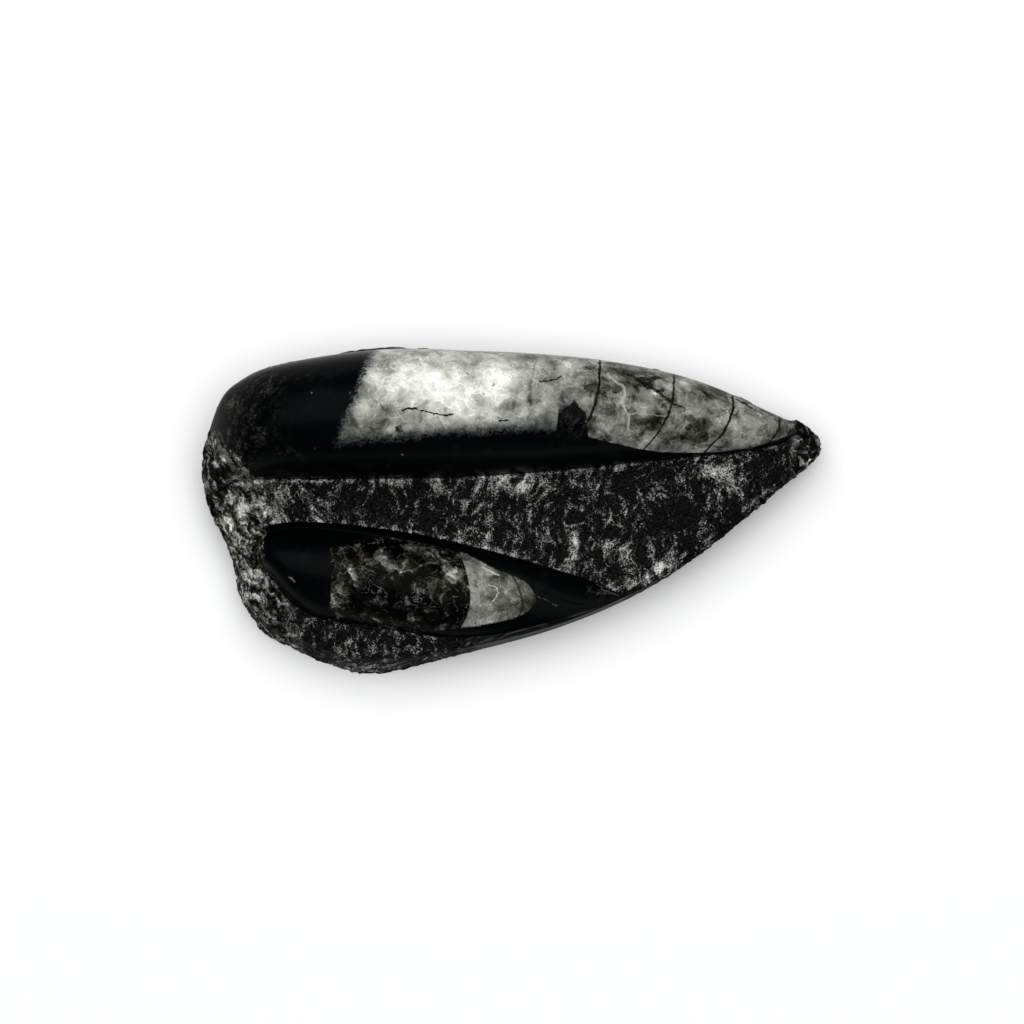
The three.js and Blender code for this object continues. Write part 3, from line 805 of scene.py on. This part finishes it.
def new_material(name):
    material = bpy.data.materials.new(name)
    material.use_nodes = True
    shader = material.node_tree.nodes["Principled BSDF"]
    graph = Graph(material.node_tree)
    places = graph.node("ShaderNodeTexCoord").outputs["Object"]
    where = graph.vector("MULTIPLY", places, (1000.0, 1000.0, 1000.0))
    return material, shader, graph, where


def finish_material(graph, shader, look, specular):
    colour, roughness, height = look
    graph.put(shader.inputs["Base Color"], colour)
    graph.put(shader.inputs["Roughness"], roughness)
    shader.inputs["Specular IOR Level"].default_value = specular
    bump = graph.node("ShaderNodeBump", {"Height": height, "Strength": 1.0, "Distance": METRES})
    graph.put(shader.inputs["Normal"], bump.outputs["Normal"])


POLISHED_SPECULAR = 0.02
ROUGH_SPECULAR = 0.018


def ridge_filled(g, where):
    """A mask on the large cone's filling, which frays towards the black chamber."""
    ragged = g.add(g.swing(g.noise(where, 1.6, 3, 0.6), 1.8), g.swing(g.noise(where, 0.6, 4, 0.75), 3.0))
    ragged = g.times(ragged, g.mix_value(g.field("smoke"), 1.0, 0.08))
    return g.fade(g.add(g.field("shell"), ragged), -0.2, g.mix_value(g.field("smoke"), 2.4, 0.1))


def spindle_filled(g, where):
    """A mask on the small shell's filling."""
    edge = g.swing(g.noise(where, 1.2, 4, 0.6), 0.5)
    return g.fade(g.add(g.field("spindle_shell"), edge), -0.2, 0.2)


def stone_material(name, specular, gashes_and_painted_highlights, filled=None, calcite=None, meets_ground_edge=True):
    """The stone's look over an area: black, with a shell's filling if it has one, and rough round it.

    Each area has its own material, because Cycles draws a shader with too many values plain black.
    """
    material, shader, g, where = new_material(name)
    polished = black_limestone(g, where)
    if filled:
        polished = g.lay_over(filled(g, where), calcite(g, where), polished)
    rough_look = g.lay_over(g.field("broken"), broken_rock(g, where), chiselled_matrix(g, where))
    if meets_ground_edge:
        ground = g.fade(g.add(g.field("ground"), g.swing(g.noise(where, 3, 6, 0.7), 1.2)), 0.3, 0.7)
        rough_look = g.lay_over(ground, ground_edge(g, where), rough_look)
    edge = g.swing(g.noise(where, 1.2, 4, 0.6), 0.2)
    worn = g.times(g.swing(g.noise(where, 2.5, 5, 0.6), 2.4), g.field("broken"))
    kept = g.fade(g.add(g.field("polish"), edge, worn), -0.2, 0.15)
    colour, roughness, height = g.lay_over(kept, polished, rough_look)
    # Pale lines over the colour: real gashes in the large cone's areas, painted highlights (glints) in the
    # small shell's, both in the rough areas
    gash_and_highlight_mask = g.times(drawn_lines(g, where, gashes_and_painted_highlights), g.fade(g.noise(where, 0.8, 4, 0.7), 0.4, 0.56))
    colour = g.mix(gash_and_highlight_mask, colour, (0.16, 0.16, 0.14))
    finish_material(g, shader, (colour, roughness, height), specular)
    return material


def underside_material():
    material, shader, g, where = new_material("sawn_underside")
    finish_material(g, shader, sawn_face(g, where), ROUGH_SPECULAR)
    return material


# ---------------------------------------------------------------- the object

def unrolled_map(stone, mesh):
    """A map for baking: the top unrolled by its lengths, with the underside beside it at half size."""
    charts = np.concatenate(mesh.charts)
    data = stone.data
    layer = data.uv_layers.new(name="OFBake")
    loops = np.zeros(len(data.loops), int)
    data.loops.foreach_get("vertex_index", loops)
    places = charts[loops]
    under = data.polygons[len(data.polygons) - 1]
    flat = np.array([data.vertices[i].co.xy for i in under.vertices])
    low, high = charts.min(0), charts.max(0)
    under_loops = slice(under.loop_start, under.loop_start + under.loop_total)
    places[under_loops] = (flat - flat.min(0)) * 0.5 + (low[0], high[1] + 3)
    side = max(high[0] - low[0], places[:, 1].max() - low[1])
    layer.data.foreach_set("uv", (0.01 + 0.98 * (places - low) / side).ravel())


# The object's material slots, in order
LARGE_CONE, SMALL_SHELL, ROUGH_LIMESTONE, SAWN_UNDERSIDE = range(4)
POLISH_MARGIN = -0.3  # mm past the polished edge that still use a polished area's material
FLOOR_GUIDE = 6       # the matrix floor's middle, counted among the section's guides


def make_stone():
    mesh, sections, reach, guide_rows, top = build_stone()
    points = np.concatenate(mesh.points)
    fields = stone_fields(mesh, sections, reach, guide_rows, top)
    stone = make_object("fossil_limestone_block", points, mesh.faces)
    data = stone.data
    data.polygons.foreach_set("use_smooth", [True] * len(data.polygons))
    underside = len(data.polygons) - 1
    data.polygons[underside].use_smooth = False
    cut_relief(stone, fields)
    unrolled_map(stone, mesh)
    for name, values in fields.items():
        attribute = data.attributes.new(name, "FLOAT", "POINT")
        attribute.data.foreach_set("value", values.astype(np.float32))
    data.materials.append(stone_material("large_cone", POLISHED_SPECULAR, RIDGE_GASHES,
                                         ridge_filled, ridge_calcite, meets_ground_edge=False))
    data.materials.append(stone_material("small_shell", POLISHED_SPECULAR, SPINDLE_PAINTED_HIGHLIGHTS,
                                         spindle_filled, spindle_calcite))
    data.materials.append(stone_material("rough_limestone", ROUGH_SPECULAR, RIDGE_GASHES + SPINDLE_PAINTED_HIGHLIGHTS))
    data.materials.append(underside_material())
    below_floor = np.zeros(len(points), bool)
    below_floor[top[:, :guide_rows[FLOOR_GUIDE]]] = True
    for polygon in data.polygons:
        corner = polygon.vertices[0]
        if fields["polish"][corner] <= POLISH_MARGIN:
            polygon.material_index = ROUGH_LIMESTONE
        else:
            polygon.material_index = SMALL_SHELL if below_floor[corner] else LARGE_CONE
    data.polygons[underside].material_index = SAWN_UNDERSIDE
    fit_to_frame(stone, points)
    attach(stone, "root")
    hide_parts(NODE)
    return stone


def fit_to_frame(stone, smooth_points):
    """Puts the mesh where the CAD solid is: its smooth shape fills the solid's box."""
    low, high = (np.array(corner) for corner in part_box(NODE))
    shape_low, shape_high = smooth_points.min(0), smooth_points.max(0)
    data = stone.data
    points = np.zeros(len(data.vertices) * 3)
    data.vertices.foreach_get("co", points)
    points = (points.reshape(-1, 3) - shape_low) / (shape_high - shape_low) * (high - low) + low
    data.vertices.foreach_set("co", points.ravel())
    data.update()


# ---------------------------------------------------------------- studio

VIEW_WIDTH = 0.2471      # metres of floor-level width that the picture shows at the stone's middle
LENS = 160.0             # mm
SENSOR = 36.0            # mm
SOFTBOX_PLACE = (0, 0.35, 1.15)  # metres
SOFTBOX_SIZE = 1.6       # metres
SOFTBOX_POWER = 19.6     # watts
ROOM_LIGHT = 0.25
FLOOR_SIZE = 1.5         # metres from the middle to an edge


def make_camera(low, high):
    middle = (low + high) / 2
    distance = LENS * VIEW_WIDTH / SENSOR
    data = bpy.data.cameras.new("camera")
    data.lens = LENS
    data.sensor_width = SENSOR
    camera = bpy.data.objects.new("camera", data)
    camera.location = (middle.x, middle.y, middle.z + distance)
    bpy.context.scene.collection.objects.link(camera)
    bpy.context.scene.camera = camera


def make_floor(low):
    size = FLOOR_SIZE
    corners = [(-size, -size, low.z), (size, -size, low.z), (size, size, low.z), (-size, size, low.z)]
    floor = make_object("floor", np.array(corners), [(0, 1, 2, 3)])
    material = bpy.data.materials.new("floor")
    material.use_nodes = True
    shader = material.node_tree.nodes["Principled BSDF"]
    shader.inputs["Base Color"].default_value = (0.97, 0.97, 0.97, 1)
    shader.inputs["Roughness"].default_value = 0.9
    shader.inputs["Specular IOR Level"].default_value = 0.0
    floor.data.materials.append(material)


def make_light(name, place, size, power):
    """A soft square light that faces the stone."""
    data = bpy.data.lights.new(name, "AREA")
    data.shape = "SQUARE"
    data.size = size
    data.energy = power
    light = bpy.data.objects.new(name, data)
    light.location = place
    light.rotation_euler = (-Vector(place)).to_track_quat("-Z", "Y").to_euler()
    bpy.context.scene.collection.objects.link(light)


def make_studio(low):
    make_floor(low)
    make_light("softbox", SOFTBOX_PLACE, SOFTBOX_SIZE, SOFTBOX_POWER)
    world = bpy.data.worlds.new("studio")
    world.use_nodes = True
    background = world.node_tree.nodes["Background"]
    background.inputs["Color"].default_value = (0.96, 0.98, 1, 1)
    background.inputs["Strength"].default_value = ROOM_LIGHT
    bpy.context.scene.world = world


low, high = (Vector(corner) for corner in cad_bounds)
make_camera(low, high)
make_stone()
make_studio(low)
bpy.context.scene.view_settings.view_transform = "Standard"
